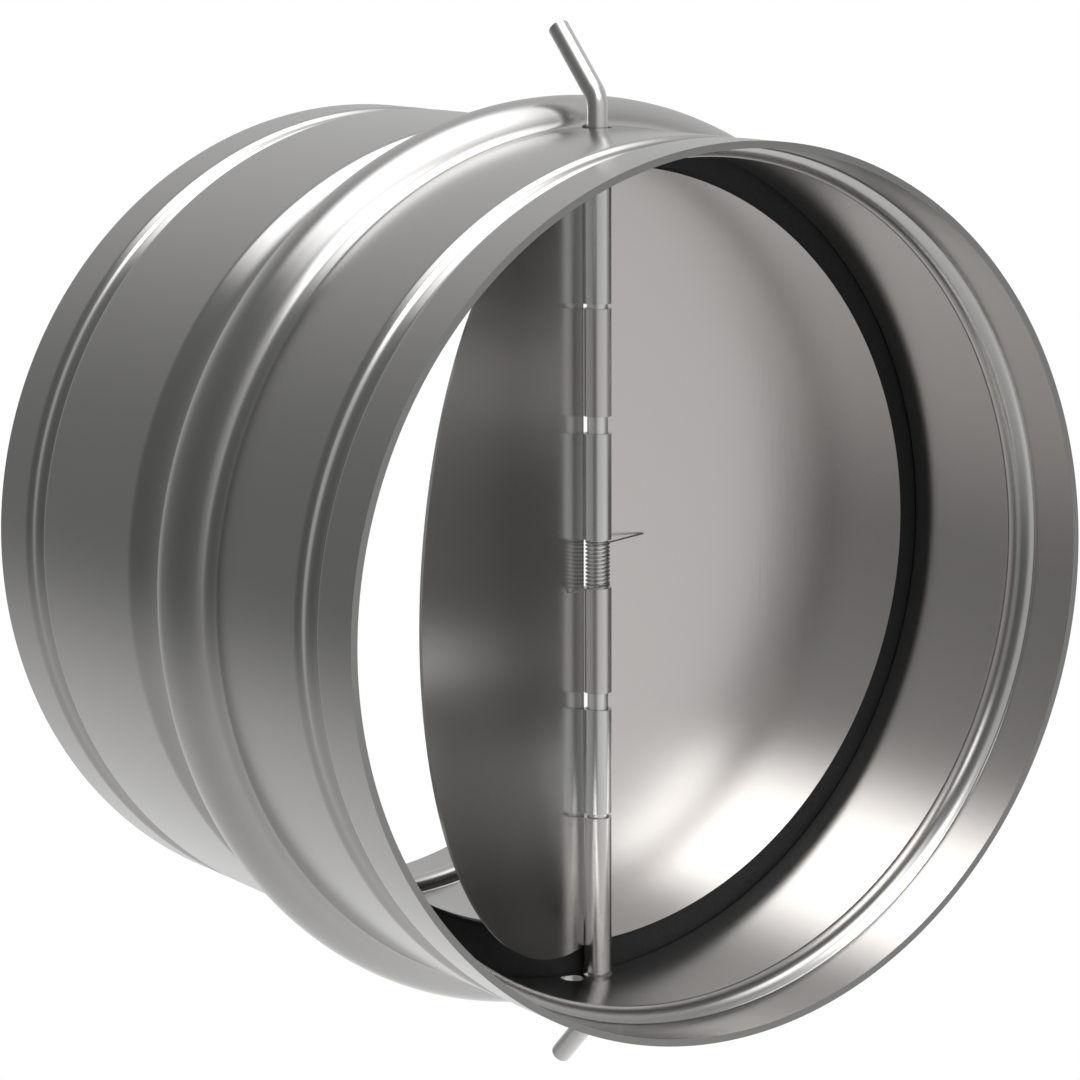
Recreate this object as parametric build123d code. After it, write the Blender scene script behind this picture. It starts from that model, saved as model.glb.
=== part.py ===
"""Round duct backdraft damper: a sheet-steel casing with two spring-closed half-disc blades on one upright rod.

Frame: the duct runs along Y and air flows towards -Y, the hinge rod stands along Z, and the origin is the
centre of the casing on the duct's axis. Millimetres and degrees.
"""
from build123d import *
import os
from math import acos, atan2, cos, degrees, radians, sin, sqrt

# Casing: one rolled tube, made to slide into a 125 mm duct
casing_diameter = 124.0
casing_length = 98.0
casing_sheet = 1.0

# Stiffening bead near each rim, rolled inwards
bead_rim_distance = 11.0
bead_depth = 1.8
bead_crest_radius = 2.1
bead_inner_foot_radius = 0.5

# Pocket rolled outwards for the seal, and the wide stop groove rolled inwards behind it
pocket_height = 4.1
pocket_crest_radius = 6.6
pocket_foot_radius = 2.4
pocket_ahead_of_middle = 7.6
stop_depth = 1.8
stop_crest_radius = 8.0
stop_inner_foot_radius = 1.0

# Hinge rod
rod_diameter = 3.0
rod_ahead_of_pocket = 8.2
rod_elbow_above_casing = 4.2
rod_end_length = 13.2
rod_end_angle = 45.0
rod_bend_radius = 3.5
rod_hole_play = 0.6
drain_hole_diameter = 3.4
drain_hole_web = 0.8

# Blades: two like stampings of thin sheet
blade_sheet = 0.4
blade_wall_gap = 1.4
blade_centre_offset = 1.3
blade_opening_at_rest = 33.0
knuckle_running_clearance = 0.1
knuckle_mouth_angle = 56.0
knuckle_wall_gap = 0.6
spring_gap = 7.0
inner_knuckle_length = 15.3
middle_knuckle_gap = 2.5
outer_knuckle_gap = 0.7
notch_clearance = 0.05

# Seal ring
seal_overlap = 2.5
seal_depth = 3.8
seal_foot_depth = 10.4
seal_blade_gap = 0.3
seal_seat_gap = 0.05
seal_lip_radius = 0.6

# Torsion spring, its thin round wire drawn with flats
spring_wire = 0.25
spring_wire_flat_count = 8
spring_whole_turns = 12
spring_rod_gap = 0.03
spring_end_gap = 0.25
spring_leg_gap = 0.05
right_leg_reach = 9.1
left_leg_reach = 7.0

# Derived
wall_radius = casing_diameter / 2
inner_radius = wall_radius - casing_sheet
rim = casing_length / 2
bead_foot_radius = bead_inner_foot_radius + casing_sheet
stop_foot_radius = stop_inner_foot_radius + casing_sheet
pocket_y = -pocket_ahead_of_middle
hinge_y = pocket_y - rod_ahead_of_pocket
rod_radius = rod_diameter / 2
rod_hole_radius = rod_radius + rod_hole_play
drain_hole_x = -(rod_hole_radius + drain_hole_web + drain_hole_diameter / 2)
knuckle_bore = rod_radius + knuckle_running_clearance
knuckle_radius = knuckle_bore + blade_sheet
blade_radius = wall_radius - bead_depth - casing_sheet - blade_wall_gap - blade_centre_offset
seal_inner_radius = blade_radius - seal_overlap
seal_near_y = hinge_y + knuckle_radius + seal_blade_gap
seal_far_y = seal_near_y + seal_depth
seal_foot_radius = wall_radius - stop_depth - casing_sheet

# Heights where each knuckle ends, from the middle outwards
inner_knuckle_low = spring_gap / 2
inner_knuckle_high = inner_knuckle_low + inner_knuckle_length
middle_knuckle_low = inner_knuckle_high + middle_knuckle_gap
middle_knuckle_high = middle_knuckle_low + inner_knuckle_length
outer_knuckle_low = middle_knuckle_high + outer_knuckle_gap
outer_knuckle_high = inner_radius - knuckle_wall_gap


def foot_distance(height, crest, foot):
    """Distance along the duct from a bead's crest to where its foot meets the plain wall."""
    return sqrt(2 * height * (crest + foot) - height**2)


def arc(centre, radius, start, end):
    """Arc between two angles in degrees, measured from the outward radial direction."""
    return CenterArc(centre, radius, start, end - start)


def bead_arcs(y, inset):
    """The three arcs of a stiffening bead, seen on the wall's surface that lies inset below its outside."""
    along = foot_distance(bead_depth, bead_crest_radius, bead_foot_radius)
    turn = degrees(atan2(along, bead_crest_radius + bead_foot_radius - bead_depth))
    foot_r = wall_radius - bead_foot_radius
    crest_r = wall_radius - bead_depth + bead_crest_radius
    return [
        arc((foot_r, y - along), bead_foot_radius - inset, 0, turn),
        arc((crest_r, y), bead_crest_radius + inset, 180 + turn, 180 - turn),
        arc((foot_r, y + along), bead_foot_radius - inset, -turn, 0),
    ]


def pocket_arcs(inset):
    """The seal's pocket, which runs straight on into the stop groove behind it."""
    along = foot_distance(pocket_height, pocket_crest_radius, pocket_foot_radius)
    turn = degrees(atan2(along, pocket_crest_radius + pocket_foot_radius - pocket_height))
    crest_r = wall_radius + pocket_height - pocket_crest_radius
    stop_r = wall_radius - stop_depth + stop_crest_radius
    reach = sqrt((pocket_crest_radius + stop_crest_radius) ** 2 - (stop_r - crest_r) ** 2)
    stop_y = pocket_y + reach
    lean = degrees(atan2(reach, stop_r - crest_r))
    stop_along = foot_distance(stop_depth, stop_crest_radius, stop_foot_radius)
    stop_turn = degrees(atan2(stop_along, stop_crest_radius + stop_foot_radius - stop_depth))
    return [
        arc((wall_radius + pocket_foot_radius, pocket_y - along), pocket_foot_radius + inset, 180, 180 - turn),
        arc((crest_r, pocket_y), pocket_crest_radius - inset, -turn, lean),
        arc((stop_r, stop_y), stop_crest_radius + inset, 180 + lean, 180 - stop_turn),
        arc((wall_radius - stop_foot_radius, stop_y + stop_along), stop_foot_radius - inset, -stop_turn, 0),
    ]


def wall_face(inset):
    """Half section of everything inside the wall's surface that lies inset below its outside."""
    near_bead = bead_arcs(bead_rim_distance - rim, inset)
    far_bead = bead_arcs(rim - bead_rim_distance, inset)
    pocket = pocket_arcs(inset)
    radius = wall_radius - inset
    edges = [
        Line((0, -rim), (radius, -rim)),
        Line((radius, -rim), near_bead[0] @ 0),
        *near_bead,
        Line(near_bead[-1] @ 1, pocket[0] @ 0),
        *pocket,
        Line(pocket[-1] @ 1, far_bead[0] @ 0),
        *far_bead,
        Line(far_bead[-1] @ 1, (radius, rim)),
        Line((radius, rim), (0, rim)),
        Line((0, rim), (0, -rim)),
    ]
    return make_face(edges)


def strip(inner, outer, near, far):
    """Rectangle of the half section between two radii and two stations along the duct."""
    return Pos((inner + outer) / 2, (near + far) / 2) * Rectangle(outer - inner, far - near)


def casing():
    """The rolled tube with its beads, pocket, rod holes and the small drain hole in its floor."""
    tube = revolve(wall_face(0) - wall_face(casing_sheet), Axis.Y)
    reach = wall_radius + pocket_height
    rod_holes = Pos(0, hinge_y, 0) * Cylinder(rod_hole_radius, 2 * reach)
    drain_hole = Pos(drain_hole_x, hinge_y, -reach / 2) * Cylinder(drain_hole_diameter / 2, reach)
    return tube - rod_holes - drain_hole


def seal_ring():
    """Rubber ring: a web that the blades close on, and a foot that fills the pocket up to the stop groove."""
    inside = wall_face(casing_sheet + seal_seat_gap)
    outer = wall_radius + pocket_height
    web = strip(seal_inner_radius, outer, seal_near_y, seal_far_y)
    foot = strip(seal_foot_radius, outer, seal_near_y, seal_near_y + seal_foot_depth)
    section = inside & (web + foot)
    lip = section.vertices().filter_by(lambda v: abs(v.X - seal_inner_radius) < seal_seat_gap)
    return revolve(fillet(lip, seal_lip_radius), Axis.Y)


def knuckle(low, high):
    """Sheet rolled round the rod between two heights, until its free edge meets the plate again."""
    middle = (low + high) / 2
    sleeve = Cylinder(knuckle_radius, high - low) - Cylinder(knuckle_bore, high - low)
    corner = knuckle_radius * sqrt(2)
    tip = (corner * cos(radians(knuckle_mouth_angle)), corner * sin(radians(knuckle_mouth_angle)))
    mouth = extrude(make_face(Polyline((0, 0), tip, (corner, corner), (0, corner), close=True)), high - low)
    return Pos(0, 0, middle) * sleeve - Pos(0, 0, low) * mouth


def plate_tab(low, high):
    """Stretch of plate that carries on from the half disc into a knuckle."""
    middle = (low + high) / 2
    plate_y = knuckle_radius - blade_sheet / 2
    width = 2 * knuckle_radius
    return Pos(width / 2, plate_y, middle) * Box(width, blade_sheet, high - low)


def blade():
    """Half-disc blade on the +X side with its knuckles, shut against the seal and about its own hinge axis."""
    knuckles = [
        (middle_knuckle_low, middle_knuckle_high),
        (-inner_knuckle_high, -inner_knuckle_low),
        (-outer_knuckle_high, -outer_knuckle_low),
    ]
    plate_y = knuckle_radius - blade_sheet / 2
    notch = sqrt((knuckle_radius + notch_clearance) ** 2 - knuckle_bore**2)
    disc = Pos(blade_centre_offset, 0, 0) * Rot(90, 0, 0) * Cylinder(blade_radius, blade_sheet)
    half = Pos(notch + blade_radius, 0, 0) * Box(2 * blade_radius, 2 * blade_sheet, 3 * blade_radius)
    plate = Pos(0, plate_y, 0) * (disc & half)
    edge = sqrt(blade_radius**2 - (blade_centre_offset + knuckle_radius) ** 2)
    for low, high in knuckles:
        plate += plate_tab(max(low, -edge), min(high, edge))
        plate += knuckle(low, high)
    return plate


def hinge_rod():
    """Round rod with both ends bent over outside the casing, towards the inlet."""
    elbow = wall_radius + rod_elbow_above_casing
    end_y = rod_end_length * sin(radians(rod_end_angle))
    end_z = rod_end_length * cos(radians(rod_end_angle))
    route = FilletPolyline(
        (0, hinge_y + end_y, -elbow - end_z),
        (0, hinge_y, -elbow),
        (0, hinge_y, elbow),
        (0, hinge_y + end_y, elbow + end_z),
        radius=rod_bend_radius,
    )
    start = Plane(origin=route @ 0, z_dir=route % 0)
    return sweep(start * Circle(rod_radius), path=route)


def coil_radius():
    """Radius of the spring's coil, at the centre of its wire."""
    return rod_radius + spring_rod_gap + spring_wire / 2


def leg_tip(reach):
    """Where a leg's tip rests, on the near face of a shut blade on the +X side."""
    return Vector(reach, knuckle_bore - spring_leg_gap - spring_wire / 2, 0)


def leg_angle(reach):
    """Angle round the rod at which a leg with this reach leaves the coil, on the coil's near side."""
    tip = leg_tip(reach)
    return degrees(atan2(tip.Y, tip.X) - acos(coil_radius() / tip.length))


def torsion_spring():
    """Close-wound coil between the two inner knuckles, with one leg on each blade."""
    height = spring_gap - 2 * spring_end_gap - spring_wire
    start_angle = blade_opening_at_rest - 180 - leg_angle(left_leg_reach)
    swept = 360 * spring_whole_turns + (leg_angle(right_leg_reach) - start_angle) % 360
    helix = Helix(pitch=height * 360 / swept, height=height, radius=coil_radius())
    coil = Pos(0, 0, -height / 2) * Rot(0, 0, start_angle) * helix
    tip = leg_tip(left_leg_reach)
    left_tip = Vector(-tip.X, tip.Y, -height / 2).rotate(Axis.Z, blade_opening_at_rest)
    right_tip = leg_tip(right_leg_reach) + Vector(0, 0, height / 2)
    route = Wire([Line(left_tip, coil @ 0).edge(), coil.edge(), Line(coil @ 1, right_tip).edge()])
    start = Plane(origin=left_tip, z_dir=route % 0)
    section = start * RegularPolygon(spring_wire / 2, spring_wire_flat_count)
    return Pos(0, hinge_y, 0) * sweep(section, path=route)


def build():
    """Every node of the damper in its own place at rest."""
    shut_blade = blade()
    return {
        "casing": casing(),
        "seal_ring": seal_ring(),
        "hinge_rod": hinge_rod(),
        "right_blade": Pos(0, hinge_y, 0) * shut_blade,
        "left_blade": Pos(0, hinge_y, 0) * Rot(0, 0, blade_opening_at_rest) * Rot(0, 180, 0) * shut_blade,
        "torsion_spring": torsion_spring(),
    }


os.makedirs("parts", exist_ok=True)
for name, solid in build().items():
    export_step(solid, f"parts/{name}.step")
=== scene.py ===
# %% [markdown]
# # Duct backdraft damper
#
# A short sheet-steel duct with two half-disc blades on one upright rod. Fan air pushes the blades open,
# and a small spring shuts them against a rubber ring when the fan stops. The CAD model already has the right
# shapes, so this lesson gives them light, a camera and real finishes. It also turns the casing once more with
# a finer mesh, and winds the spring from round wire.

# %% Load the model
from math import acos, atan2, cos, degrees, pi, radians, sin, tan

import bpy
from mathutils import Matrix, Quaternion, Vector


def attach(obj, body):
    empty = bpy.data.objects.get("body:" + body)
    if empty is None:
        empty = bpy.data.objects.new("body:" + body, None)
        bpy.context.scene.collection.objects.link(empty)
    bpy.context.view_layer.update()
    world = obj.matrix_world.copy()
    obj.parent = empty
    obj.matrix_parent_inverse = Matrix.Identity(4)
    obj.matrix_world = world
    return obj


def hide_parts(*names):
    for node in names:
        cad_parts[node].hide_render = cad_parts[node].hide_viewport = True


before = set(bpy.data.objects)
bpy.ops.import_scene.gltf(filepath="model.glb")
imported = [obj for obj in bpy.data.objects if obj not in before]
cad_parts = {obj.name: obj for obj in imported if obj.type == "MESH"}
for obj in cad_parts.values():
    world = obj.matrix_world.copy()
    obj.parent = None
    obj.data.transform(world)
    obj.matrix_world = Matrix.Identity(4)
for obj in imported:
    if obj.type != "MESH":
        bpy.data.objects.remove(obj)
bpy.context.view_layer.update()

print("nodes:", sorted(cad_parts))

# %% [markdown]
# ## Sizes
#
# Everything in Blender is in metres. The few sizes that the casing, the finishes and the spring share are
# written here once, with the same values as in the CAD source, so that each piece lands exactly on the part
# that carries it.

# %% Sizes
MM = 0.001
CASING_RADIUS = 62.0 * MM
CASING_END = 49.0 * MM
CASING_SHEET = 1.0 * MM
HINGE_Y = -15.8 * MM
ROD_RADIUS = 1.5 * MM
KNUCKLE_BORE = 1.6 * MM
print("hinge axis at y =", round(HINGE_Y, 4))

# %% [markdown]
# ## Camera
#
# The photograph looks into the outlet from the front left and a little from above. The camera is turned with
# `to_track_quat`, which points its -Z axis along the line of sight and keeps its Y axis up. The real duct lay
# turned a little about its own axis, so the camera goes round that axis by the same small angle.

# %% Camera
VIEW_TURN = radians(34.71)
VIEW_DROP = radians(10.29)
VIEW_DISTANCE = 531.05 * MM
CAMERA_RIGHT = 0.763 * MM
CAMERA_UP = 0.967 * MM
CAMERA_LEAN = radians(0.26)
LENS_LENGTH = 120.895
SENSOR_WIDTH = 36
NEAREST_SEEN = 0.01

sight = Vector((sin(VIEW_TURN) * cos(VIEW_DROP), cos(VIEW_TURN) * cos(VIEW_DROP), -sin(VIEW_DROP)))
rightward = Vector((cos(VIEW_TURN), -sin(VIEW_TURN), 0))
upward = rightward.cross(sight)

camera = bpy.data.objects.new("camera", bpy.data.cameras.new("camera"))
camera.data.lens = LENS_LENGTH
camera.data.sensor_width = SENSOR_WIDTH
camera.data.clip_start = NEAREST_SEEN
camera.location = -sight * VIEW_DISTANCE + rightward * CAMERA_RIGHT + upward * CAMERA_UP
camera.rotation_mode = "QUATERNION"
camera.rotation_quaternion = sight.to_track_quat("-Z", "Y")
duct_turn = Quaternion((0, 1, 0), CAMERA_LEAN)
camera.location = duct_turn @ camera.location
camera.rotation_quaternion = duct_turn @ camera.rotation_quaternion
bpy.context.collection.objects.link(camera)
bpy.context.scene.camera = camera
bpy.context.scene.view_settings.view_transform = "Standard"
print("camera at", [round(c, 4) for c in camera.location])

# %% [markdown]
# ## Helpers for every node tree
#
# Shader trees, world trees and geometry trees are all built from nodes and links. The first helper makes a
# node, sets its options and fills its inputs. An input may be a plain value or another node's output. The
# others make the four kinds of node that these trees use most, and return the socket of the result.

# %% Helpers that add nodes
def add(tree, kind, inputs=None, **options):
    """Adds a node of this kind and fills its inputs with values or with other nodes' outputs."""
    node = tree.nodes.new(kind)
    for option, value in options.items():
        setattr(node, option, value)
    for socket, value in (inputs or {}).items():
        if isinstance(value, bpy.types.NodeSocket):
            tree.links.new(value, node.inputs[socket])
        else:
            node.inputs[socket].default_value = value
    return node


def calculate(tree, operation, *values, clamp=False):
    """Adds a Math node and returns its result."""
    node = add(tree, "ShaderNodeMath", dict(enumerate(values)), operation=operation, use_clamp=clamp)
    return node.outputs[0]


def calculate_vector(tree, operation, *vectors, **more):
    """Adds a Vector Math node and returns its result, which is a number for a length or a dot product."""
    node = add(tree, "ShaderNodeVectorMath", {**dict(enumerate(vectors)), **more}, operation=operation)
    return node.outputs["Value" if operation in ("LENGTH", "DOT_PRODUCT") else "Vector"]


def between(tree, value, low, high, from_low=0.0, from_high=1.0, smooth=False):
    """Maps a value that runs between two limits onto two other values."""
    sockets = {"Value": value, "From Min": from_low, "From Max": from_high, "To Min": low, "To Max": high}
    ease = "SMOOTHSTEP" if smooth else "LINEAR"
    return add(tree, "ShaderNodeMapRange", sockets, interpolation_type=ease).outputs[0]


def blend(tree, share, first, second):
    """Mixes two numbers: a share of 0 gives the first and a share of 1 the second."""
    return add(tree, "ShaderNodeMix", {"Factor": share, 2: first, 3: second}).outputs[0]


print("helpers ready")

# %% [markdown]
# ## Studio walls
#
# Bare steel has no colour of its own: it shows the room. The photograph's steel shows a dim grey room, darker
# on the left than on the right, with a paler ground. Two patches of wall are a little brighter, one in front
# of the outlet and one behind the duct on the right. So the world's shade depends on the direction alone. Rays
# that come straight from the camera see a white backdrop at a strength of 1. Rays that leave a shiny surface
# see the walls and the ground, and all other rays get one plain soft level.

# %% Studio walls
WALL_LEFT = 0.11
WALL_RIGHT = 0.37
GROUND_LEFT = 0.33
GROUND_RIGHT = 0.94
GROUND_STARTS = 5
GROUND_FULL = 35
FRONT_GLOW = {"direction": (0.045, -0.994, 0.101), "level": 0.31, "inner": 38, "outer": 52}
BACK_GLOW = {"direction": (0.694, 0.665, 0.276), "level": 0.26, "inner": 20, "outer": 77}
SOFT_LEVEL = 0.35
BACKDROP_LEVEL = 1.0
WHITE = (1, 1, 1, 1)

world = bpy.data.worlds.new("studio")
bpy.context.scene.world = world
world.use_nodes = True
sky = world.node_tree
sky.nodes.clear()
look = add(sky, "ShaderNodeTexCoord").outputs["Generated"]


def glow(direction, level, inner, outer):
    """A soft brighter patch of wall round one direction, full inside one angle and gone outside another."""
    facing = calculate_vector(sky, "DOT_PRODUCT", look, direction)
    return between(sky, facing, 0.0, level, cos(radians(outer)), cos(radians(inner)), smooth=True)


way = add(sky, "ShaderNodeSeparateXYZ", {0: look}).outputs
wall = between(sky, way["X"], WALL_LEFT, WALL_RIGHT, -1.0, 1.0)
ground = between(sky, way["X"], GROUND_LEFT, GROUND_RIGHT, -1.0, 1.0)
ground_top, ground_full = -sin(radians(GROUND_STARTS)), -sin(radians(GROUND_FULL))
below = between(sky, way["Z"], 0.0, 1.0, ground_top, ground_full, smooth=True)
room = blend(sky, below, wall, ground)
for patch in (FRONT_GLOW, BACK_GLOW):
    room = calculate(sky, "ADD", room, glow(**patch))

ray = add(sky, "ShaderNodeLightPath").outputs
shiny = calculate(sky, "ADD", ray["Is Glossy Ray"], ray["Is Transmission Ray"], clamp=True)
level = blend(sky, shiny, SOFT_LEVEL, room)
level = blend(sky, ray["Is Camera Ray"], level, BACKDROP_LEVEL)
backdrop = add(sky, "ShaderNodeBackground", {"Color": WHITE, "Strength": level})
add(sky, "ShaderNodeOutputWorld", {"Surface": backdrop.outputs[0]})
print("studio walls from", WALL_LEFT, "to", WALL_RIGHT)

# %% [markdown]
# ## Lamps
#
# Two soft boxes do most of the work: a bright one in front and above, which draws the white streaks on the
# beads and the hot spots low inside the duct, and a wide one overhead. A soft box is an area lamp. A real one
# is brightest in its middle and fades to its edges, so the lamp's own nodes fade it the same way.

# %% Lamps
def soft_box(name, turn, height, distance, width, tall, fade, brightness):
    """A rectangular lamp that faces the origin. Turn runs from +Y towards +X, and all angles are in degrees."""

    def reach(angle):
        """The length at the lamp that this angle takes up on both sides of its middle."""
        return 2 * distance * tan(radians(angle))

    turn, height = radians(turn), radians(height)
    place = Vector((sin(turn) * cos(height), cos(turn) * cos(height), sin(height)))
    lamp = bpy.data.lights.new(name, "AREA")
    lamp.shape = "RECTANGLE"
    lamp.size = reach(width / 2 + fade)
    lamp.size_y = reach(tall / 2 + fade)
    lamp.energy = brightness * lamp.size * lamp.size_y * pi
    lamp.use_nodes = True
    tree = lamp.node_tree
    tree.nodes.clear()
    spot = add(tree, "ShaderNodeNewGeometry").outputs["Parametric"]
    across = add(tree, "ShaderNodeSeparateXYZ", {0: spot}).outputs
    strength = 1.0
    for side, full in ((across["X"], lamp.size), (across["Y"], lamp.size_y)):
        off_middle = calculate(tree, "ABSOLUTE", calculate(tree, "SUBTRACT", side, 0.5))
        fade_starts = 0.5 - reach(fade) / full
        share = between(tree, off_middle, 1.0, 0.0, fade_starts, 0.5, smooth=True)
        strength = calculate(tree, "MULTIPLY", strength, share)
    glowing = add(tree, "ShaderNodeEmission", {"Strength": strength})
    add(tree, "ShaderNodeOutputLight", {"Surface": glowing.outputs[0]})
    box = bpy.data.objects.new(name, lamp)
    box.location = place * distance
    box.rotation_mode = "QUATERNION"
    box.rotation_quaternion = (-place).to_track_quat("-Z", "Y")
    box.visible_camera = False
    bpy.context.collection.objects.link(box)
    print(name, "size", round(lamp.size, 2), "x", round(lamp.size_y, 2), "power", round(lamp.energy, 1))


LAMP_DISTANCE = 2.0
KEY_BOX = {"turn": -173, "height": 43.7, "width": 27, "tall": 24.5, "fade": 7, "brightness": 3.9}
OVERHEAD_BOX = {"turn": 0, "height": 90, "width": 46, "tall": 46, "fade": 12, "brightness": 1.95}
soft_box("key_soft_box", distance=LAMP_DISTANCE, **KEY_BOX)
soft_box("overhead_soft_box", distance=LAMP_DISTANCE, **OVERHEAD_BOX)

# %% [markdown]
# ## Floor
#
# The floor is a large pale disc well below the damper, because the photograph shows it hanging in the air with
# no shadow in view. Near the middle it is ordinary pale floor that keeps the shadow. Further out it fades into
# the white backdrop, so no edge shows from any side. Shiny rays pass it by and meet the world's own pale
# ground instead.

# %% Floor
FLOOR_DROP = 0.30
FLOOR_RADIUS = 4.0
FLOOR_SIDES = 96
FLOOR_PAINT = (0.8, 0.8, 0.8, 1)
FLOOR_LIT_LEVEL = 0.62
FADE_STARTS = 0.35
FADE_ENDS = 0.62


def object_place(tree):
    """A place on the piece itself, so that a pattern moves along with it."""
    return add(tree, "ShaderNodeTexCoord").outputs["Object"]


middle = (0, 0, -FLOOR_DROP)
bpy.ops.mesh.primitive_circle_add(vertices=FLOOR_SIDES, radius=FLOOR_RADIUS, fill_type="NGON", location=middle)
floor = bpy.context.object
floor.name = "studio_floor"
floor.visible_glossy = False
floor.visible_transmission = False

floor_paint = bpy.data.materials.new("pale_floor")
floor_paint.use_nodes = True
tree = floor_paint.node_tree
tree.nodes.clear()
ray = add(tree, "ShaderNodeLightPath").outputs
off_middle = calculate_vector(tree, "LENGTH", object_place(tree))
faded = between(tree, off_middle, 0.0, 1.0, FADE_STARTS, FADE_ENDS, smooth=True)
paint = add(tree, "ShaderNodeBsdfDiffuse", {"Color": FLOOR_PAINT})
top_up = add(tree, "ShaderNodeEmission", {"Color": WHITE, "Strength": 1 - FLOOR_LIT_LEVEL})
white = add(tree, "ShaderNodeEmission", {"Color": WHITE, "Strength": BACKDROP_LEVEL})
near = add(tree, "ShaderNodeAddShader", {0: paint.outputs[0], 1: top_up.outputs[0]})
seen = add(tree, "ShaderNodeMixShader", {0: faded, 1: near.outputs[0], 2: white.outputs[0]})
lit = add(tree, "ShaderNodeMixShader", {0: ray["Is Camera Ray"], 1: paint.outputs[0], 2: seen.outputs[0]})
add(tree, "ShaderNodeOutputMaterial", {"Surface": lit.outputs[0]})
floor.data.materials.append(floor_paint)
print("floor", FLOOR_DROP, "m below the middle of the duct")

# %% [markdown]
# ## Grain of rolled sheet
#
# The casing and the blades are cut from cold-rolled, zinc-coated sheet. Close up it isn't a mirror: the rolls
# leave a very fine grain that runs one way, and the coating varies a little from place to place. All the metal
# here shares that effect, so it is built once as a node group. It gives a colour, a roughness and a height.

# %% Group: metal grain
FLOAT, VECTOR, COLOUR = "NodeSocketFloat", "NodeSocketVector", "NodeSocketColor"
INTEGER, MATERIAL, GEOMETRY = "NodeSocketInt", "NodeSocketMaterial", "NodeSocketGeometry"
ORIGIN = (0, 0, 0)


def group_tree(name, kind, inputs, outputs):
    """A node group with named inputs and outputs: the tree, what it is given and where its results go."""
    tree = bpy.data.node_groups.new(name, kind)
    for label, (socket, default) in inputs.items():
        made = tree.interface.new_socket(name=label, in_out="INPUT", socket_type=socket)
        if default is not None:
            made.default_value = default
    for label, socket in outputs.items():
        tree.interface.new_socket(name=label, in_out="OUTPUT", socket_type=socket)
    return tree, tree.nodes.new("NodeGroupInput").outputs, tree.nodes.new("NodeGroupOutput").inputs


def noise(tree, place, scale, detail=3.0, **more):
    """Adds a Noise Texture and returns its value, which lies round 0.5."""
    sockets = {"Vector": place, "Scale": scale, "Detail": detail, **more}
    return add(tree, "ShaderNodeTexNoise", sockets).outputs[0]


grain, given, result = group_tree(
    "metal_grain",
    "ShaderNodeTree",
    {
        "Place": (VECTOR, ORIGIN),
        "Stretch": (VECTOR, (1, 1, 1)),
        "Tone": (COLOUR, (0.6, 0.6, 0.6, 1)),
        "Tone Spread": (FLOAT, 0.03),
        "Roughness": (FLOAT, 0.22),
        "Roughness Spread": (FLOAT, 0.03),
        "Cloud Size": (FLOAT, 40.0),
    },
    {"Colour": COLOUR, "Roughness": FLOAT, "Height": FLOAT},
)
stretched = calculate_vector(grain, "MULTIPLY", given["Place"], given["Stretch"])
lines = noise(grain, stretched, 1.0, Roughness=0.6)
clouds = noise(grain, given["Place"], given["Cloud Size"], detail=2.0)
line_offset = calculate(grain, "SUBTRACT", lines, 0.5)
cloud_offset = calculate(grain, "SUBTRACT", clouds, 0.5)
mixed = calculate(grain, "ADD", line_offset, cloud_offset)
tone_change = calculate(grain, "MULTIPLY_ADD", mixed, given["Tone Spread"], 1.0)
toned = calculate_vector(grain, "SCALE", given["Tone"], Scale=tone_change)
rough = calculate(grain, "MULTIPLY_ADD", mixed, given["Roughness Spread"], given["Roughness"])
for label, value in {"Colour": toned, "Roughness": rough, "Height": lines}.items():
    grain.links.new(value, result[label])
print("group", grain.name, "has", len(grain.nodes), "nodes")

# %% [markdown]
# ## Round coordinates
#
# The casing was flat sheet before it was rolled, so its grain runs round the duct. This group turns a place in
# space into a place on the rolled sheet: a direction round the duct axis, which has no seam, and the station
# along it.

# %% Group: place on the rolled sheet
rolled, given, result = group_tree(
    "rolled_place", "ShaderNodeTree", {"Place": (VECTOR, ORIGIN)}, {"Rolled": VECTOR}
)
parts = add(rolled, "ShaderNodeSeparateXYZ", {0: given["Place"]}).outputs
flat = add(rolled, "ShaderNodeCombineXYZ", {"X": parts["X"], "Z": parts["Z"]}).outputs[0]
round_way = calculate_vector(rolled, "NORMALIZE", flat)
round_way = calculate_vector(rolled, "SCALE", round_way, Scale=CASING_RADIUS)
along = add(rolled, "ShaderNodeCombineXYZ", {"Y": parts["Y"]}).outputs[0]
both = calculate_vector(rolled, "ADD", round_way, along)
rolled.links.new(both, result["Rolled"])
print("group", rolled.name, "has", len(rolled.nodes), "nodes")

# %% [markdown]
# ## Materials
#
# Each finish is one Principled shader. What is the same all over a surface, such as metallic, is set on the
# shader's own socket. Tone, roughness and bump vary, so they come from the grain group. The grain runs round
# the casing, up and down the blades and along the rod, and the wire's is the same every way.

# %% Metal finishes
ROUND_GRAIN = (150, 2500, 150)
UPRIGHT_GRAIN = (2500, 2500, 150)
ROD_GRAIN = (3000, 3000, 100)
EVEN_GRAIN = (3000, 3000, 3000)
SHEET_BUMP = 0.000004
ROD_BUMP = 0.000002
WIRE_BUMP = 0.000001


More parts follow.
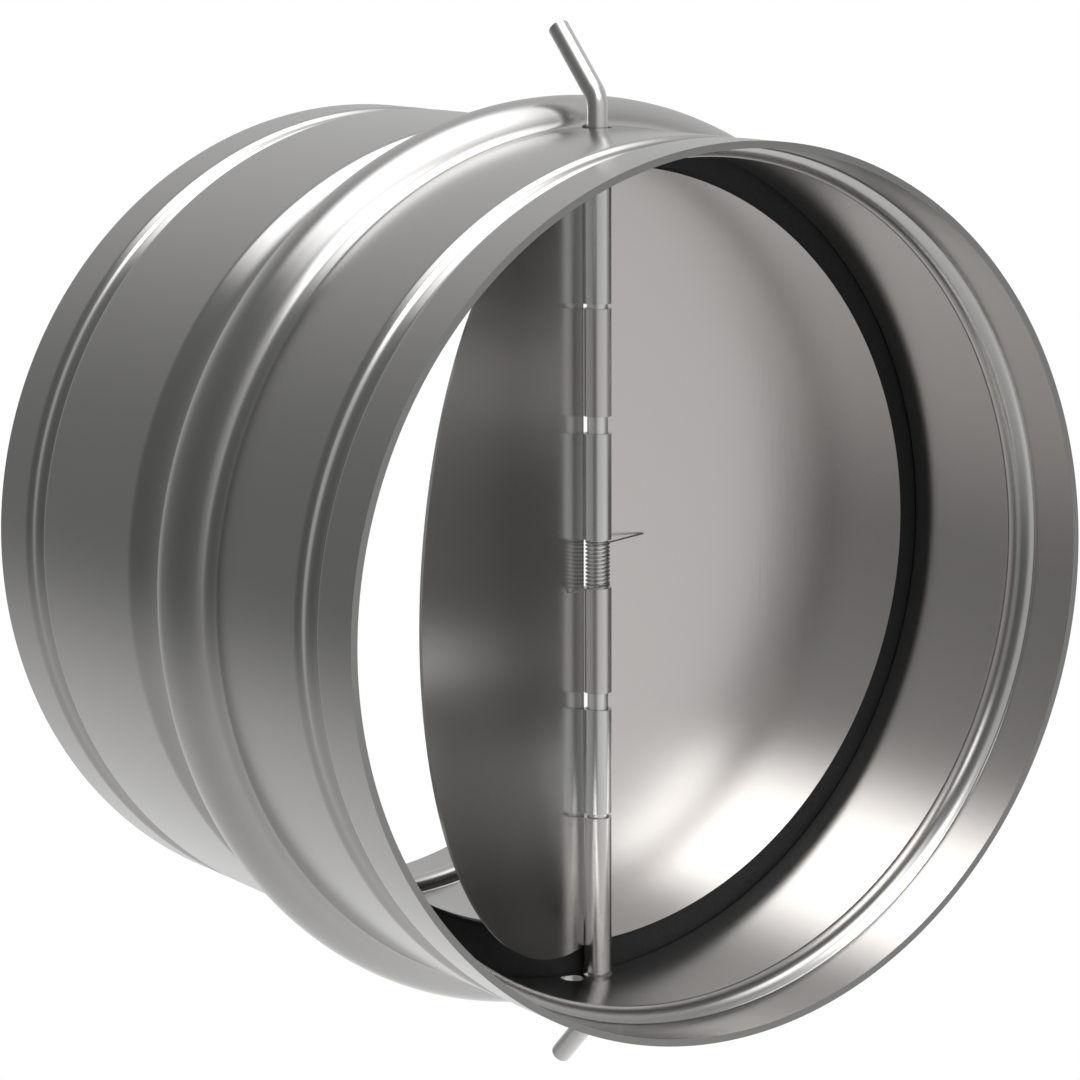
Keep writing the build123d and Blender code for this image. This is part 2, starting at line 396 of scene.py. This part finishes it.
def metal(name, tone, roughness, stretch, bump, rolled_sheet=False):
    """A metal whose fine grain runs the way that its stretch is smallest."""
    material = bpy.data.materials.new(name)
    material.use_nodes = True
    tree = material.node_tree
    place = object_place(tree)
    if rolled_sheet:
        place = add(tree, "ShaderNodeGroup", {"Place": place}, node_tree=rolled).outputs["Rolled"]
    finish = {"Place": place, "Stretch": stretch, "Tone": (*tone, 1), "Roughness": roughness}
    group = add(tree, "ShaderNodeGroup", finish, node_tree=grain).outputs
    height = add(tree, "ShaderNodeBump", {"Strength": 1.0, "Distance": bump, "Height": group["Height"]})
    shader = tree.nodes["Principled BSDF"].inputs
    shader["Metallic"].default_value = 1.0
    tree.links.new(group["Colour"], shader["Base Color"])
    tree.links.new(group["Roughness"], shader["Roughness"])
    tree.links.new(height.outputs[0], shader["Normal"])
    print("metal", name, "with a roughness of", roughness)
    return material


casing_steel = metal("casing_steel", (0.605, 0.598, 0.588), 0.22, ROUND_GRAIN, SHEET_BUMP, rolled_sheet=True)
right_blade_steel = metal("right_blade_steel", (0.685, 0.66, 0.645), 0.24, UPRIGHT_GRAIN, SHEET_BUMP)
# Painted shade: the left blade is the same kind of sheet as the right one, but its tone is set darker to stand for
# the darker look it has where it stands open.
left_blade_shaded_steel = metal("left_blade_shaded_steel", (0.53, 0.53, 0.525), 0.17, UPRIGHT_GRAIN, SHEET_BUMP)
rod_steel = metal("rod_steel", (0.80, 0.79, 0.78), 0.30, ROD_GRAIN, ROD_BUMP)
spring_steel = metal("spring_steel", (0.36, 0.355, 0.35), 0.32, EVEN_GRAIN, WIRE_BUMP)

# %% [markdown]
# Two places differ from the plain sheet. Sheared edges are duller and rougher than rolled faces, so the
# casing's two rims get a darker tone. The knuckles of the darker blade, whose plate carries painted shade, get a
# painted highlight: a paler tone than its plate, with a roughness of their own. Both are masks on Object
# coordinates, so they move with the part.

# %% Cut rims and painted highlight on the knuckles
CUT_EDGE_TONE = 0.5
CUT_EDGE_ROUGHNESS = 0.4
CUT_EDGE_DEPTH = 0.02 * MM
KNUCKLE_HIGHLIGHT_TONE = 1.35
KNUCKLE_ROUGHNESS = 0.2
KNUCKLE_WITHIN = 2.1 * MM
KNUCKLE_BEYOND = 2.6 * MM


def retone(material, mask, tone, roughness):
    """Multiplies the tone and replaces the roughness of a metal where a mask is 1."""
    tree = material.node_tree
    shader = tree.nodes["Principled BSDF"].inputs
    plain_tone = shader["Base Color"].links[0].from_socket
    plain_roughness = shader["Roughness"].links[0].from_socket
    toned = calculate_vector(tree, "SCALE", plain_tone, Scale=between(tree, mask, 1.0, tone))
    tree.links.new(toned, shader["Base Color"])
    tree.links.new(blend(tree, mask, plain_roughness, roughness), shader["Roughness"])


tree = casing_steel.node_tree
station = add(tree, "ShaderNodeSeparateXYZ", {0: object_place(tree)}).outputs["Y"]
at_rim = calculate(tree, "GREATER_THAN", calculate(tree, "ABSOLUTE", station), CASING_END - CUT_EDGE_DEPTH)
retone(casing_steel, at_rim, CUT_EDGE_TONE, CUT_EDGE_ROUGHNESS)

tree = left_blade_shaded_steel.node_tree
off_hinge = calculate_vector(tree, "SUBTRACT", object_place(tree), (0, HINGE_Y, 0))
off_hinge = calculate_vector(tree, "MULTIPLY", off_hinge, (1, 1, 0))
off_hinge = calculate_vector(tree, "LENGTH", off_hinge)
# Painted highlight: a paler tone round the hinge axis, where the knuckles are.
knuckle_highlight = between(tree, off_hinge, 1.0, 0.0, KNUCKLE_WITHIN, KNUCKLE_BEYOND, smooth=True)
retone(left_blade_shaded_steel, knuckle_highlight, KNUCKLE_HIGHLIGHT_TONE, KNUCKLE_ROUGHNESS)
print("rims at", round(CASING_END, 4), "m, knuckles within", round(KNUCKLE_BEYOND, 4), "m of the hinge axis")

# %% [markdown]
# The seal is soft black rubber. It is matt, with a fine moulded texture and a trace of pale dust, so it is a
# dark plain shader with a little bump.

# %% Rubber
RUBBER_CLEAN = 0.008
RUBBER_DUSTY = 0.013
RUBBER_ROUGHNESS = (0.52, 0.64)
RUBBER_BUMP = 0.00003
MOULD_TEXTURE = 1800.0
DUST_PATCHES = 60.0
NOISE_RANGE = (0.3, 0.7)

seal_rubber = bpy.data.materials.new("seal_rubber")
seal_rubber.use_nodes = True
tree = seal_rubber.node_tree
place = object_place(tree)
texture = noise(tree, place, MOULD_TEXTURE)
dust = noise(tree, place, DUST_PATCHES)
tone = between(tree, dust, RUBBER_CLEAN, RUBBER_DUSTY, *NOISE_RANGE)
roughness = between(tree, texture, *RUBBER_ROUGHNESS, *NOISE_RANGE)
height = add(tree, "ShaderNodeBump", {"Strength": 1.0, "Distance": RUBBER_BUMP, "Height": texture})
shade = add(tree, "ShaderNodeCombineColor", {0: tone, 1: tone, 2: tone})
shader = tree.nodes["Principled BSDF"].inputs
tree.links.new(shade.outputs[0], shader["Base Color"])
tree.links.new(roughness, shader["Roughness"])
tree.links.new(height.outputs[0], shader["Normal"])
print("rubber ready")

# %% Give the CAD parts their finishes
FINISHES = {
    "casing": casing_steel,
    "left_blade": left_blade_shaded_steel,
    "right_blade": right_blade_steel,
    "hinge_rod": rod_steel,
    "seal_ring": seal_rubber,
}
for node, finish in FINISHES.items():
    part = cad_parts[node]
    part.data.materials.clear()
    part.data.materials.append(finish)
    print(node, "->", finish.name)

# %% [markdown]
# ## Casing
#
# The casing is one strip of sheet, rolled into a tube. Two stiffening beads, the seal's pocket and the stop
# groove are rolled into it, so its shape is one outline turned about the duct axis. Reflections in bent steel
# show every facet, so the outline is drawn again here from the same arcs as in the CAD source, with many
# points. Geometry Nodes then turn it, cut its holes and keep only its cut edges sharp.

# %% Outline of the casing
BEND_STEP = radians(6)
NEAR_BEND = 0.4 * MM
BEAD_STATION = 38 * MM
BEAD = {"depth": 1.8 * MM, "crest": 2.1 * MM, "foot": 1.5 * MM}
POCKET_Y = -7.6 * MM
POCKET = {"depth": 4.1 * MM, "crest": 6.6 * MM, "foot": 2.4 * MM}
STOP = {"depth": 1.8 * MM, "crest": 8.0 * MM, "foot": 2.0 * MM}


def bend(centre, radius, start, end):
    """Points along an arc. Angles are in radians from the outward direction, towards the inlet."""
    count = max(3, round(abs(end - start) / BEND_STEP))
    angles = [start + (end - start) * i / count for i in range(count + 1)]
    return [(centre[0] + radius * cos(a), centre[1] + radius * sin(a)) for a in angles]


def flank(depth, crest, foot):
    """How far a groove's foot ends from its middle, and the angle that its flank turns through."""
    along = (2 * depth * (crest + foot) - depth ** 2) ** 0.5
    return along, atan2(along, crest + foot - depth)


def rolled_groove(y, depth, crest, foot, inset):
    """A groove rolled inwards: foot, crest and foot, on the surface that lies inset below the outside."""
    along, turn = flank(depth, crest, foot)
    foot_r, crest_r = CASING_RADIUS - foot, CASING_RADIUS - depth + crest
    return [
        *bend((foot_r, y - along), foot - inset, 0, turn),
        *bend((crest_r, y), crest + inset, pi + turn, pi - turn),
        *bend((foot_r, y + along), foot - inset, -turn, 0),
    ]


def rolled_pocket(inset):
    """The seal's pocket, rolled outwards, which runs straight on into the stop groove behind it."""
    crest, foot = POCKET["crest"], POCKET["foot"]
    stop_crest, stop_foot = STOP["crest"], STOP["foot"]
    along, turn = flank(**POCKET)
    stop_along, stop_turn = flank(**STOP)
    crest_r = CASING_RADIUS + POCKET["depth"] - crest
    stop_r = CASING_RADIUS - STOP["depth"] + stop_crest
    reach = ((crest + stop_crest) ** 2 - (stop_r - crest_r) ** 2) ** 0.5
    lean = atan2(reach, stop_r - crest_r)
    stop_y = POCKET_Y + reach
    return [
        *bend((CASING_RADIUS + foot, POCKET_Y - along), foot + inset, pi, pi - turn),
        *bend((crest_r, POCKET_Y), crest - inset, -turn, lean),
        *bend((stop_r, stop_y), stop_crest + inset, pi + lean, pi - stop_turn),
        *bend((CASING_RADIUS - stop_foot, stop_y + stop_along), stop_foot - inset, -stop_turn, 0),
    ]


def wall_line(inset):
    """One surface of the wall, from the outlet to the inlet. A point near each bend keeps the flats flat."""
    radius = CASING_RADIUS - inset
    line = [(radius, -CASING_END)]
    runs = [
        rolled_groove(-BEAD_STATION, **BEAD, inset=inset),
        rolled_pocket(inset),
        rolled_groove(BEAD_STATION, **BEAD, inset=inset),
        [(radius, CASING_END)],
    ]
    for run in runs:
        start, end = line[-1][1], run[0][1]
        line += [(radius, y) for y in (start + NEAR_BEND, (start + end) / 2, end - NEAR_BEND)]
        line += run
    return line


outline = wall_line(0) + list(reversed(wall_line(CASING_SHEET)))
radii = [r for r, _ in outline]
print("outline has", len(outline), "points, radii", round(min(radii), 4), "to", round(max(radii), 4))

# %% Geometry tree: turn an outline and cut its holes
CASING_SEGMENTS = 256
SAME_POINT = 0.000001
SHARP_ANGLE = radians(40)
DRILL_SIDES = 48
ROD_HOLE_RADIUS = 2.1 * MM
DRAIN_RADIUS = 1.7 * MM
ROD_DRILL_LENGTH = 0.2
DRAIN_DRILL_LENGTH = 0.02

lathe_tree, given, result = group_tree(
    "turned_casing",
    "GeometryNodeTree",
    {
        "Outline": (GEOMETRY, None),
        "Radius": (FLOAT, CASING_RADIUS),
        "Segments": (INTEGER, CASING_SEGMENTS),
        "Rod Hole Radius": (FLOAT, ROD_HOLE_RADIUS),
        "Rod Hole Place": (VECTOR, ORIGIN),
        "Drain Hole Radius": (FLOAT, DRAIN_RADIUS),
        "Drain Hole Place": (VECTOR, ORIGIN),
        "Material": (MATERIAL, None),
    },
    {"Geometry": GEOMETRY},
)


def drill(radius, place, length):
    """A round drill that stands upright at a place."""
    size = {"Vertices": DRILL_SIDES, "Radius": given[radius], "Depth": length}
    bit = add(lathe_tree, "GeometryNodeMeshCylinder", size).outputs["Mesh"]
    moved = add(lathe_tree, "GeometryNodeTransform", {"Geometry": bit, "Translation": given[place]})
    return moved.outputs[0]


def hand_over(tree, mesh, given, result):
    """Ends a geometry tree: instances made real, the piece's material put on, and out."""
    real = add(tree, "GeometryNodeRealizeInstances", {"Geometry": mesh}).outputs[0]
    painted = add(tree, "GeometryNodeSetMaterial", {"Geometry": real, "Material": given["Material"]})
    tree.links.new(painted.outputs[0], result["Geometry"])
    print("tree", tree.name, "has", len(tree.nodes), "nodes")


weld = {"Geometry": given["Outline"], "Distance": SAME_POINT}
joined = add(lathe_tree, "GeometryNodeMergeByDistance", weld).outputs[0]
section = add(lathe_tree, "GeometryNodeMeshToCurve", {"Mesh": joined}).outputs[0]
size = {"Resolution": given["Segments"], "Radius": given["Radius"]}
circle = add(lathe_tree, "GeometryNodeCurvePrimitiveCircle", size).outputs[0]
stand_up = {"Geometry": circle, "Rotation": (pi / 2, 0, 0)}
upright = add(lathe_tree, "GeometryNodeTransform", stand_up).outputs[0]
tube = add(lathe_tree, "GeometryNodeCurveToMesh", {"Curve": upright, "Profile Curve": section}).outputs[0]
rod_drill = drill("Rod Hole Radius", "Rod Hole Place", ROD_DRILL_LENGTH)
drain_drill = drill("Drain Hole Radius", "Drain Hole Place", DRAIN_DRILL_LENGTH)
cut = {"operation": "DIFFERENCE", "solver": "EXACT"}
holed = add(lathe_tree, "GeometryNodeMeshBoolean", {"Mesh 1": tube}, **cut)
for bit in (rod_drill, drain_drill):
    lathe_tree.links.new(bit, holed.inputs["Mesh 2"])
smooth = add(lathe_tree, "GeometryNodeSetShadeSmooth", {"Geometry": holed.outputs[0]}).outputs[0]
bent = add(lathe_tree, "GeometryNodeInputMeshEdgeAngle").outputs["Unsigned Angle"]
corner = calculate(lathe_tree, "GREATER_THAN", bent, SHARP_ANGLE)
keep_sharp = {"Geometry": smooth, "Selection": corner, "Shade Smooth": False}
crisp = add(lathe_tree, "GeometryNodeSetShadeSmooth", keep_sharp, domain="EDGE").outputs[0]
hand_over(lathe_tree, crisp, given, result)

# %% [markdown]
# A tree is run by a modifier. Its inputs are set by their identifiers, then the evaluated result is copied to
# a plain mesh and the modifier is removed, so the piece is an ordinary one.

# %% Run a geometry tree into a plain piece
def grow(name, tree, values, start=None):
    """Runs a geometry tree once and returns a plain mesh object of the result."""
    piece = bpy.data.objects.new(name, start or bpy.data.meshes.new(name))
    bpy.context.collection.objects.link(piece)
    modifier = piece.modifiers.new("grow", "NODES")
    modifier.node_group = tree
    for item in tree.interface.items_tree:
        if item.in_out == "INPUT" and item.name in values:
            modifier[item.identifier] = values[item.name]
    evaluated = piece.evaluated_get(bpy.context.evaluated_depsgraph_get())
    mesh = bpy.data.meshes.new_from_object(evaluated)
    piece.modifiers.clear()
    piece.data = mesh
    mesh.name = name
    print(name, "has", len(mesh.polygons), "faces")
    return piece


# %% Turn the casing
DRAIN_X = -4.6 * MM

drawn = bpy.data.meshes.new("casing_outline")
count = len(outline)
corners = [(r - CASING_RADIUS, y, 0) for r, y in outline]
sides = [(i, (i + 1) % count) for i in range(count)]
drawn.from_pydata(corners, sides, [])
casing_shell = grow("casing_shell", lathe_tree, {
    "Radius": CASING_RADIUS,
    "Segments": CASING_SEGMENTS,
    "Rod Hole Radius": ROD_HOLE_RADIUS,
    "Rod Hole Place": (0, HINGE_Y, 0),
    "Drain Hole Radius": DRAIN_RADIUS,
    "Drain Hole Place": (DRAIN_X, HINGE_Y, -CASING_RADIUS),
    "Material": casing_steel,
}, drawn)
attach(casing_shell, "casing")
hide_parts("casing")

# %% [markdown]
# ## Torsion spring
#
# The spring is a close-wound coil of thin wire round the rod, with one straight leg on each blade. A coil is a
# shape that follows a rule, so Geometry Nodes wind it: points on a line are turned round the axis and sweep a
# small circle. Its last half turn at each end lies flat, so that a leg can turn with its blade and still leave
# the coil from the wire.

# %% Spring sizes
WIRE = 0.25 * MM
WHOLE_TURNS = 12
ROD_GAP = 0.03 * MM
BLADE_GAP = 0.05 * MM
COIL_RADIUS = ROD_RADIUS + ROD_GAP + WIRE / 2
COIL_LENGTH = 6.5 * MM
COIL_HEIGHT = COIL_LENGTH - WIRE
LEFT_LEG_REACH = 7.0 * MM
RIGHT_LEG_REACH = 9.1 * MM
LEG_REST_Y = KNUCKLE_BORE - BLADE_GAP - WIRE / 2
REST_OPENING = radians(33)
COIL_POINTS = 481
WIRE_SIDES = 12
print("coil radius", round(COIL_RADIUS, 6), "and height", round(COIL_HEIGHT, 6))

# %% Geometry tree: coil of wire
coil_tree, given, result = group_tree(
    "wire_coil",
    "GeometryNodeTree",
    {
        "Centre": (VECTOR, ORIGIN),
        "Coil Radius": (FLOAT, COIL_RADIUS),
        "Coil Height": (FLOAT, COIL_HEIGHT),
        "Turns": (FLOAT, WHOLE_TURNS),
        "Start Angle": (FLOAT, 0.0),
        "Flat Turns": (FLOAT, 0.5),
        "Wire Diameter": (FLOAT, WIRE),
        "Material": (MATERIAL, None),
    },
    {"Geometry": GEOMETRY},
)


def sweep_wire(tree, path, given):
    """Sweeps a round wire along a path and closes its two ends."""
    radius = calculate(tree, "MULTIPLY", given["Wire Diameter"], 0.5)
    ring = add(tree, "GeometryNodeCurvePrimitiveCircle", {"Resolution": WIRE_SIDES, "Radius": radius})
    sweep = {"Curve": path, "Profile Curve": ring.outputs[0], "Fill Caps": True}
    wire = add(tree, "GeometryNodeCurveToMesh", sweep).outputs[0]
    return add(tree, "GeometryNodeSetShadeSmooth", {"Geometry": wire}).outputs[0]


line = add(coil_tree, "GeometryNodeCurvePrimitiveLine").outputs[0]
dotted = add(coil_tree, "GeometryNodeResampleCurve", {"Curve": line, "Count": COIL_POINTS}).outputs[0]
step = add(coil_tree, "GeometryNodeSplineParameter").outputs["Factor"]
turned = calculate(coil_tree, "MULTIPLY", step, given["Turns"])
angle = calculate(coil_tree, "MULTIPLY_ADD", turned, 2 * pi, given["Start Angle"])
flat_start = calculate(coil_tree, "DIVIDE", given["Flat Turns"], given["Turns"])
flat_end = calculate(coil_tree, "SUBTRACT", 1.0, flat_start)
rise = between(coil_tree, step, -0.5, 0.5, flat_start, flat_end)
spot = {
    axis: calculate(coil_tree, "MULTIPLY", calculate(coil_tree, wave, angle), given["Coil Radius"])
    for axis, wave in (("X", "COSINE"), ("Y", "SINE"))
}
spot["Z"] = calculate(coil_tree, "MULTIPLY", rise, given["Coil Height"])
spot = add(coil_tree, "ShaderNodeCombineXYZ", spot).outputs[0]
spot = calculate_vector(coil_tree, "ADD", spot, given["Centre"])
wound = add(coil_tree, "GeometryNodeSetPosition", {"Geometry": dotted, "Position": spot}).outputs[0]
hand_over(coil_tree, sweep_wire(coil_tree, wound, given), given, result)

# %% Geometry tree: straight leg of wire
leg_tree, given, result = group_tree(
    "wire_leg",
    "GeometryNodeTree",
    {
        "Start": (VECTOR, ORIGIN),
        "End": (VECTOR, (0, 0, 1)),
        "Wire Diameter": (FLOAT, WIRE),
        "Material": (MATERIAL, None),
    },
    {"Geometry": GEOMETRY},
)
ends = {"Start": given["Start"], "End": given["End"]}
line = add(leg_tree, "GeometryNodeCurvePrimitiveLine", ends).outputs[0]
hand_over(leg_tree, sweep_wire(leg_tree, line, given), given, result)

# %% Where the legs leave the coil
def leg_ends(reach):
    """The angle at which a straight leg leaves the coil, its root and its tip, for a shut blade on the +X side."""
    tip = Vector((reach, LEG_REST_Y, 0))
    angle = atan2(tip.y, tip.x) - acos(COIL_RADIUS / tip.length)
    return angle, Vector((COIL_RADIUS * cos(angle), COIL_RADIUS * sin(angle), 0)), tip


hinge = Vector((0, HINGE_Y, 0))
top = Vector((0, 0, COIL_HEIGHT / 2))
right_angle, right_root, right_tip = leg_ends(RIGHT_LEG_REACH)
left_angle, left_root, left_tip = leg_ends(LEFT_LEG_REACH)
mirror = Matrix.Diagonal((-1, 1, 1))
opened = Matrix.Rotation(REST_OPENING, 3, "Z") @ mirror
start_angle = REST_OPENING + pi - left_angle
turns = WHOLE_TURNS + ((right_angle - start_angle) / (2 * pi)) % 1
print("coil of", round(turns, 2), "turns, from", round(degrees(start_angle)), "degrees")

# %% Wind the spring
coil = grow("spring_coil", coil_tree, {
    "Centre": hinge,
    "Coil Radius": COIL_RADIUS,
    "Coil Height": COIL_HEIGHT,
    "Turns": turns,
    "Start Angle": start_angle,
    "Wire Diameter": WIRE,
    "Material": spring_steel,
})
right_leg = grow("spring_right_leg", leg_tree, {
    "Start": hinge + right_root + top,
    "End": hinge + right_tip + top,
    "Wire Diameter": WIRE,
    "Material": spring_steel,
})
left_leg = grow("spring_left_leg", leg_tree, {
    "Start": hinge + opened @ left_root - top,
    "End": hinge + opened @ left_tip - top,
    "Wire Diameter": WIRE,
    "Material": spring_steel,
})
for piece, body in ((coil, "casing"), (right_leg, "right_blade"), (left_leg, "left_blade")):
    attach(piece, body)
    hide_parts("torsion_spring")
